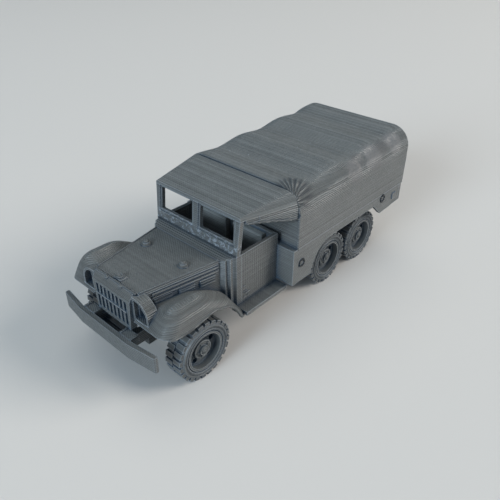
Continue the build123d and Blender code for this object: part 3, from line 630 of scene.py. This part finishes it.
# ---------------------------------------------------------------- nose
# Profiles: distance along the axis and radius. Beads: radius and unevenness.
KNOB_CAP = 0.05              # how far below the hood's highest place its knobs' tops reach
KNOB_TOP = ((-0.1, 0.78), (0.14, 0.7), (0.32, 0.45), (0.4, 0.12))
KNOB_MOUND = ((0, 1.4), (0.25, 1.3), (0.5, 1.12), (0.7, 0.8))
LATCH_BEHIND = 1.3
LATCH_HALF = 1.3
LATCH_REACH = (1.0, 1.2)     # ahead of its middle and behind it
LATCH_HEIGHTS = (-0.1, 0.3)
LATCH_CUP = ((0.3, 0.85), (0.75, 0.8), (0.8, 0.62), (0.62, 0.45), (0.62, 0.1))
STOP_OUT = 2.6               # small stops on both sides ahead of the latch
STOP_HALF = 0.5
STOP_AHEAD = (0.9, 0.2)
STOP_LIFT = 0.2
HOOD_FRONT_HALF = 7.9 * MM
HOOD_REAR_HALF = 11.7 * MM
FRONT_BEAD = (0.24, 0.5)
REAR_BEAD = (0.22, 0.4)
EDGE_BEAD = (0.2, 0.35)
SIDE_BEAD = (0.16, 0.3)
END_STEPS = 24               # on each side of the middle
EDGE_STEPS = 40
EDGE_ENDS = (0.6, 0.2)       # left free at the hood's front and rear
LOUVRE = (0.3, 0.4)
# columns: front end and rear end from the front axle, distance below the hood's top
LOUVRES = (
    (-6.2, -1.6, 3.7),
    (-6.2, -1.6, 4.4),
    (0.2, 4.4, 3.9),
    (0.2, 4.4, 4.6),
    (5.8, 10.0, 4.1),
    (5.8, 10.0, 4.8),
)

hood_low, hood_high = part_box("hood")
shell_low, shell_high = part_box("radiator_grille")
axle_low, axle_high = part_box("front_axle")
hood_top = shell_high.z
hood_front = hood_low.y
axle_y = (axle_low.y + axle_high.y) / 2


def hood_side(y):
    """Distance from the middle of the truck to the hood's side."""
    share = (y - hood_front) / (hood_high.y - hood_front)
    return HOOD_FRONT_HALF + (HOOD_REAR_HALF - HOOD_FRONT_HALF) * share


knob_spots = [vertex.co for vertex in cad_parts["hood"].data.vertices
              if vertex.co.z > hood_high.z - KNOB_CAP * MM]
domes = bmesh.new()
for side in (1, -1):
    near = [spot for spot in knob_spots if spot.x * side > 0]
    middle = sum(near, Vector()) / len(near)
    lathe(domes, KNOB_TOP, middle, (0, 0, 1))
    lathe(domes, KNOB_MOUND, (middle.x, middle.y, hood_top), (0, 0, 1))
finish_piece("hood_knob_domes", domes, "body", plastic)

# The cup comes first: a form turned after a bevelled block gets its faces in an order that
# changes from run to run.
latch = bmesh.new()
latch_y = hood_front + LATCH_BEHIND * MM
lathe(latch, LATCH_CUP, (0, latch_y, hood_top), (0, 0, 1))
block(
    latch,
    (-LATCH_HALF * MM, latch_y - LATCH_REACH[0] * MM, hood_top + LATCH_HEIGHTS[0] * MM),
    (LATCH_HALF * MM, latch_y + LATCH_REACH[1] * MM, hood_top + LATCH_HEIGHTS[1] * MM),
)
for side in (1, -1):
    block(
        latch,
        ((side * STOP_OUT - STOP_HALF) * MM, hood_front - STOP_AHEAD[0] * MM,
         hood_top - STOP_LIFT * MM),
        ((side * STOP_OUT + STOP_HALF) * MM, hood_front - STOP_AHEAD[1] * MM,
         hood_top + STOP_LIFT * MM),
    )
finish_piece("hood_latch", latch, "body", plastic)

beads = bmesh.new()
# columns: half length, place along the truck, distance above the hood's top, bead
hood_ends = (
    (HOOD_FRONT_HALF * 0.94, hood_front - 0.12 * MM, 0.02, FRONT_BEAD),
    (HOOD_REAR_HALF * 0.98, hood_high.y - 0.1 * MM, 0.06, REAR_BEAD),
)
for half, y, above, bead in hood_ends:
    tube(beads, across(half, y, hood_top + above * MM, END_STEPS), *bead)
# columns: distance out from the hood's side, distance above its top, bead
hood_edges = ((-0.35, 0.02, EDGE_BEAD), (0.05, -0.75, SIDE_BEAD))
edge_start = hood_front + EDGE_ENDS[0] * MM
edge_length = hood_high.y - hood_front - sum(EDGE_ENDS) * MM
for side in (1, -1):
    run = [edge_start + edge_length * step / EDGE_STEPS for step in range(EDGE_STEPS + 1)]
    for out, above, bead in hood_edges:
        tube(beads, [Vector((side * (hood_side(y) + out * MM), y, hood_top + above * MM))
                     for y in run], *bead)
finish_piece("hood_beads", beads, "body", plastic)

LOUVRE_OUT = 0.18 * MM
LOUVRE_STEPS = 10
louvres = bmesh.new()
for start, end, drop in LOUVRES:
    run = [axle_y + (start + (end - start) * step / LOUVRE_STEPS) * MM
           for step in range(LOUVRE_STEPS + 1)]
    for side in (1, -1):
        tube(louvres, [Vector((side * (hood_side(y) + LOUVRE_OUT), y, hood_top - drop * MM))
                       for y in run], *LOUVRE)
finish_piece("hood_louvres", louvres, "body", plastic)

# ---------------------------------------------------------------- fenders
LIP_ENDS = (1.6, 0.4)        # left free at the fender's front and rear
LIP_HEIGHTS = (8, 20)
LIP_DEPTH = 1.2              # how far in from its widest its lower edge may lie
LIP_INSET = 0.2
LIP = (0.42, 0.25, 10)       # radius, unevenness, sides

for name, side in SIDES:
    low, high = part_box("front_fender_" + name)
    reach = max(abs(low.x), abs(high.x))
    path = soften(foot_line(
        "front_fender_" + name, side, low.y + LIP_ENDS[0] * MM, high.y - LIP_ENDS[1] * MM,
        LIP_HEIGHTS, reach - LIP_DEPTH * MM))
    lip = bmesh.new()
    tube(lip, [spot - Vector((side * LIP_INSET * MM, 0, 0)) for spot in path], *LIP)
    finish_piece("fender_lip_" + name, lip, "body", plastic)

# ---------------------------------------------------------------- plate behind the bumper
PLATE_HALF = 5.2
PLATE_DROP = (2.6, 1.6)      # its underside and its top, below the frame's top
PLATE_LAP = 0.8              # how far it goes in under the radiator shell
RIBS = ((5.1, 0.25), (8.7, 0.3))     # columns: distance from the middle, half width
RIB_HEIGHTS = (-0.3, 0.25)   # from the brackets' top

bracket_low, bracket_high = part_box("bumper_brackets")
frame_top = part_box("chassis_frame")[1].z
plate = bmesh.new()
block(
    plate,
    (-PLATE_HALF * MM, bracket_low.y, frame_top - PLATE_DROP[0] * MM),
    (PLATE_HALF * MM, shell_low.y + PLATE_LAP * MM, frame_top - PLATE_DROP[1] * MM),
)
# The plate is painted darker, as painted shade behind the bumper.
finish_piece("nose_plate", plate, "body", plastic_in_painted_shade)
ribs = bmesh.new()
for side in (1, -1):
    for out, half in RIBS:
        block(
            ribs,
            ((side * out - half) * MM, bracket_low.y, bracket_high.z + RIB_HEIGHTS[0] * MM),
            ((side * out + half) * MM, bracket_high.y, bracket_high.z + RIB_HEIGHTS[1] * MM),
        )
finish_piece("bracket_ribs", ribs, "body", plastic)

# ---------------------------------------------------------------- windshield
SEAM = (0.2, 1.1)            # radius, unevenness
SEAM_WIDTH = 0.96            # as a share of the windshield's
SEAM_AHEAD = 0.02
SEAM_ABOVE = 0.06
SEAM_STEPS = 60              # on each side of the middle
screen_low, screen_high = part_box("windshield_frame")
seam = bmesh.new()
tube(seam, across(screen_high.x * SEAM_WIDTH, screen_low.y - SEAM_AHEAD * MM,
                  screen_low.z + SEAM_ABOVE * MM, SEAM_STEPS), *SEAM)
# The seam is painted darker, as painted shade at the windshield's foot.
finish_piece("windshield_seam", seam, "body", plastic_in_painted_shade)

# ---------------------------------------------------------------- roof
ROOF_HEM = (0.34, 0.9)       # radius, unevenness
ROOF_HEM_ENDS = (1.8, 0.1)   # left free at the roof's front and rear
ROOF_HEM_HEIGHTS = (29, 37)
ROOF_HEM_LEAST = 14          # nearest to the middle that the flap may be
ROOF_HEM_INSET = 0.1
FLAP_SEAM = (0.13, 0.5)
FLAP_SEAM_BEHIND = 5.0       # behind the roof's front
FLAP_SEAM_TOP = 34.9
FLAP_SEAM_LENGTH = 1.9
FLAP_SEAM_STEPS = 11

roof_low, roof_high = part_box("cab_roof")
hems = bmesh.new()
for side in (1, -1):
    path = foot_line(
        "cab_roof", side, roof_low.y + ROOF_HEM_ENDS[0] * MM, roof_high.y - ROOF_HEM_ENDS[1] * MM,
        ROOF_HEM_HEIGHTS, ROOF_HEM_LEAST * MM)
    tube(hems, [spot - Vector((side * ROOF_HEM_INSET * MM, 0, 0)) for spot in path], *ROOF_HEM)
finish_piece("roof_flap_hems", hems, "body", plastic)

seams = bmesh.new()
roof_shape = surface("cab_roof")
for side in (1, -1):
    spots = [
        side_spot(roof_shape, side, roof_low.y + FLAP_SEAM_BEHIND * MM,
                  FLAP_SEAM_TOP * MM - FLAP_SEAM_LENGTH * MM * step / FLAP_SEAM_STEPS)
        for step in range(FLAP_SEAM_STEPS + 1)
    ]
    tube(seams, [spot for spot in spots if spot], *FLAP_SEAM)
finish_piece("roof_flap_seams", seams, "body", plastic)

# ---------------------------------------------------------------- tilt
SHOULDER = 6.0 * MM
HEM = (0.3, 0.35)            # radius, unevenness
HEM_AHEAD = 0.04 * MM
HEM_INSET = (0.18, 0.22)     # in from the side, down from the top
TOP_BEHIND = 0.2             # where the tilt's height at its front is measured
HEM_SIDE_STEPS = 16
HEM_TURN_STEPS = 12

tilt_low, tilt_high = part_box("cargo_tilt")
tilt_shape = surface("cargo_tilt")
edge_half = tilt_high.x
edge_y = tilt_low.y - HEM_AHEAD
edge_top = top_spot(tilt_shape, 0, tilt_low.y + TOP_BEHIND * MM).z
upright = edge_top - SHOULDER - tilt_low.z
hem_path = [Vector((edge_half, edge_y, tilt_low.z + upright * step / HEM_SIDE_STEPS))
            for step in range(HEM_SIDE_STEPS)]
for step in range(HEM_TURN_STEPS + 1):
    angle = math.pi / 2 * step / HEM_TURN_STEPS
    hem_path.append(Vector((
        edge_half - SHOULDER * (1 - math.cos(angle)),
        edge_y,
        edge_top - SHOULDER * (1 - math.sin(angle)),
    )))
hem_path += [Vector((-spot.x, spot.y, spot.z)) for spot in reversed(hem_path)]
hem = bmesh.new()
tube(hem, [spot - Vector((math.copysign(HEM_INSET[0] * MM, spot.x), 0, HEM_INSET[1] * MM))
           for spot in hem_path], *HEM)
finish_piece("tilt_front_hem", hem, "body", plastic_tilt)

BLOB_COUNT = 16
BLOB_WIDTH = 0.8             # how much of the tilt's width they lie on
BLOB_ENDS = (2, 4)           # left free at its front and rear
BLOB_SIZES = (0.1, 0.22)
BLOB_PROFILE = ((-0.5, 1), (0.2, 0.9), (0.7, 0.4))     # times a blob's size
CORNER_BLOB = ((-0.2, 0.4), (0.15, 0.35), (0.3, 0.15))
CORNER_BLOB_X = -12.1
BLOB_STEPS = 10              # corners round a blob
CORNER_BLOB_STEPS = 12
random.seed(7)
blobs = bmesh.new()
for _ in range(BLOB_COUNT):
    x = random.uniform(-BLOB_WIDTH, BLOB_WIDTH) * edge_half
    y = random.uniform(tilt_low.y + BLOB_ENDS[0] * MM, tilt_high.y - BLOB_ENDS[1] * MM)
    size = random.uniform(*BLOB_SIZES)
    profile = [(along * size, radius * size) for along, radius in BLOB_PROFILE]
    lathe(blobs, profile, top_spot(tilt_shape, x, y), (0, 0, 1), BLOB_STEPS)
lathe(blobs, CORNER_BLOB, (CORNER_BLOB_X * MM, tilt_low.y, roof_high.z), (0, 0, 1),
      CORNER_BLOB_STEPS)
finish_piece("print_blobs", blobs, "body", plastic_pale)

# ---------------------------------------------------------------- bed markers
MARKER = (0.3, 0.3)          # radius, unevenness
MARKER_RADIUS = 1.05
MARKER_STEPS = 32
MARKER_OUT = 0.02            # proud of the tilt's side
MARKER_FACE = tilt_high.x + MARKER_OUT * MM
FRONT_MARKER = (3.5, 17.1)   # place behind the bed's front, height
REAR_MARKER = (9.9, 20.6)    # place ahead of the bed's rear, height
bed_low, bed_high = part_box("cargo_bed")
marker_places = (
    (bed_low.y + FRONT_MARKER[0] * MM, FRONT_MARKER[1] * MM),
    (bed_high.y - REAR_MARKER[0] * MM, REAR_MARKER[1] * MM),
)
rings = bmesh.new()
for y, z in marker_places:
    for side in (1, -1):
        tube(rings, circle(side * MARKER_FACE, y, z, MARKER_RADIUS, MARKER_STEPS), *MARKER)
# The rings are painted very dark, as the shade in the grooves round the markers.
finish_piece("bed_marker_rings", rings, "body", plastic_painted_groove_shade)

# ---------------------------------------------------------------- doors
# columns: place behind the door's front edge, height above its foot, length
DOOR_BITS = (
    (0.5, 2.9, 1.5),
    (1.2, 2.2, 1.7),
    (0.6, 1.2, 0.7),
    (2.0, 1.3, 0.6),
    (0.5, 4.6, 0.8),
)
BIT_HEIGHT = 0.3
BIT_OUT = 0.22
BIT_BEVEL = 0.08
bits = bmesh.new()
for name, side in SIDES:
    low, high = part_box("door_" + name)
    face = high.x if side > 0 else low.x
    x_low, x_high = sorted((face, face + side * BIT_OUT * MM))
    for behind, above, long in DOOR_BITS:
        block(
            bits,
            (x_low, low.y + behind * MM, low.z + above * MM),
            (x_high, low.y + (behind + long) * MM, low.z + (above + BIT_HEIGHT) * MM),
            BIT_BEVEL,
        )
finish_piece("door_bits", bits, "body", plastic)

# ---------------------------------------------------------------- wheels
RIM_BEADS = ((6.6, 0.22), (5.95, 0.14))     # columns: radius of the circle, radius of the bead
RIM_UNEVEN = 0.25
HUB = ((-0.3, 0.8), (0.15, 0.7), (0.3, 0.3))
HUB_DEPTH = 0.4              # in from the wheel's outer face
NUT = ((-0.2, 0.26), (0.25, 0.24))
NUT_DEPTH = 1.0
NUT_CIRCLE = 1.85
NUTS = 5
NUT_SIDES = 6
HUB_STEPS = 20               # corners round the hub
RIM_STEPS = 64
for node in [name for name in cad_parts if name.startswith("wheel_")]:
    low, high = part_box(node)
    middle = (low + high) / 2
    side = 1 if middle.x > 0 else -1
    face = high.x if side > 0 else low.x
    trim = bmesh.new()
    for radius, bead in RIM_BEADS:
        tube(trim, circle(face, middle.y, middle.z, radius, RIM_STEPS), bead, RIM_UNEVEN)
    hub = (face - side * HUB_DEPTH * MM, middle.y, middle.z)
    lathe(trim, HUB, hub, (side, 0, 0), HUB_STEPS)
    for step in range(NUTS):
        angle = 2 * math.pi * (step + 0.5) / NUTS
        place = (
            face - side * NUT_DEPTH * MM,
            middle.y + math.cos(angle) * NUT_CIRCLE * MM,
            middle.z + math.sin(angle) * NUT_CIRCLE * MM,
        )
        lathe(trim, NUT, place, (side, 0, 0), NUT_SIDES)
    finish_piece(node + "_trim", trim, node, wheel_plastic[node.split("_")[1]])

# ---------------------------------------------------------------- floor
FLOOR_REACH = 2.0
FLOOR_COLOUR = (0.555, 0.53, 0.51, 1)
FLOOR_ROUGHNESS = 0.95
FLOOR_SHINE = 0.1
floor_mesh = bpy.data.meshes.new("floor")
floor_mesh.from_pydata(
    [(-FLOOR_REACH, -FLOOR_REACH, 0), (FLOOR_REACH, -FLOOR_REACH, 0),
     (FLOOR_REACH, FLOOR_REACH, 0), (-FLOOR_REACH, FLOOR_REACH, 0)],
    [],
    [(0, 1, 2, 3)],
)
floor = bpy.data.objects.new("floor", floor_mesh)
scene.collection.objects.link(floor)
floor_material, floor_tree = new_material("floor", FLOOR_ROUGHNESS)
floor_tree.shader.inputs["Base Color"].default_value = FLOOR_COLOUR
floor_tree.shader.inputs["Specular IOR Level"].default_value = FLOOR_SHINE
floor_mesh.materials.append(floor_material)
floor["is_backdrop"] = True

# ---------------------------------------------------------------- sky
# The sky lights the truck from all round, brightest from one side; the camera sees a plain
# backdrop in its place.
SKY_SIDE = toward(40, 30)
SKY_FACING = (-0.2, 1.0)     # how far a direction faces that side, where the change runs
SKY_STRENGTH = (0.24, 0.52)
SKY_FAR = (0.42, 0.72, 1.0, 1)
SKY_NEAR = (0.8, 0.9, 1.0, 1)
BACKDROP = (0.6, 0.605, 0.605, 1)

world = bpy.data.worlds.new("world")
world.use_nodes = True
nodes = world.node_tree.nodes
links = world.node_tree.links
direction = nodes.new("ShaderNodeTexCoord")
facing = nodes.new("ShaderNodeVectorMath")
facing.operation = "DOT_PRODUCT"
facing.inputs[1].default_value = SKY_SIDE
links.new(direction.outputs["Generated"], facing.inputs[0])
sky = nodes.new("ShaderNodeMapRange")
sky.interpolation_type = "SMOOTHSTEP"
for name, amount in zip(("From Min", "From Max", "To Min", "To Max"), SKY_FACING + SKY_STRENGTH):
    sky.inputs[name].default_value = amount
links.new(facing.outputs["Value"], sky.inputs["Value"])
tint = nodes.new("ShaderNodeMix")
tint.data_type = "RGBA"
tint.inputs["A"].default_value = SKY_FAR
tint.inputs["B"].default_value = SKY_NEAR
links.new(facing.outputs["Value"], tint.inputs["Factor"])
background = nodes["Background"]
links.new(tint.outputs["Result"], background.inputs["Color"])
links.new(sky.outputs["Result"], background.inputs["Strength"])
seen = nodes.new("ShaderNodeBackground")
seen.inputs["Color"].default_value = BACKDROP
ray = nodes.new("ShaderNodeLightPath")
choice = nodes.new("ShaderNodeMixShader")
links.new(ray.outputs["Is Camera Ray"], choice.inputs["Fac"])
links.new(background.outputs[0], choice.inputs[1])
links.new(seen.outputs[0], choice.inputs[2])
links.new(choice.outputs[0], nodes["World Output"].inputs["Surface"])
scene.world = world

# ---------------------------------------------------------------- lamps
LAMP_DISTANCE = 2.2
LAMP_TARGET = Vector((0, 0, 0.015))
# columns: name, azimuth, height, width for its distance, strength, colour
LAMPS = (
    ("window", 4, 22, 0.44, 8.4, (0.72, 0.88, 1.0)),
    ("side", 131, 32, 0.5, 8.2, (1.0, 0.96, 0.89)),
    ("overhead", -120, 68, 0.89, 2.7, (1.0, 0.95, 0.83)),
)
for name, azimuth, height, width, strength, colour in LAMPS:
    light = bpy.data.lights.new(name, "AREA")
    light.shape = "DISK"
    light.size = width * LAMP_DISTANCE
    light.energy = strength * LAMP_DISTANCE ** 2
    light.color = colour
    lamp = bpy.data.objects.new(name, light)
    lamp.location = toward(azimuth, height) * LAMP_DISTANCE
    lamp.rotation_euler = (LAMP_TARGET - lamp.location).to_track_quat("-Z", "Y").to_euler()
    lamp.visible_camera = False
    scene.collection.objects.link(lamp)

low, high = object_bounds()
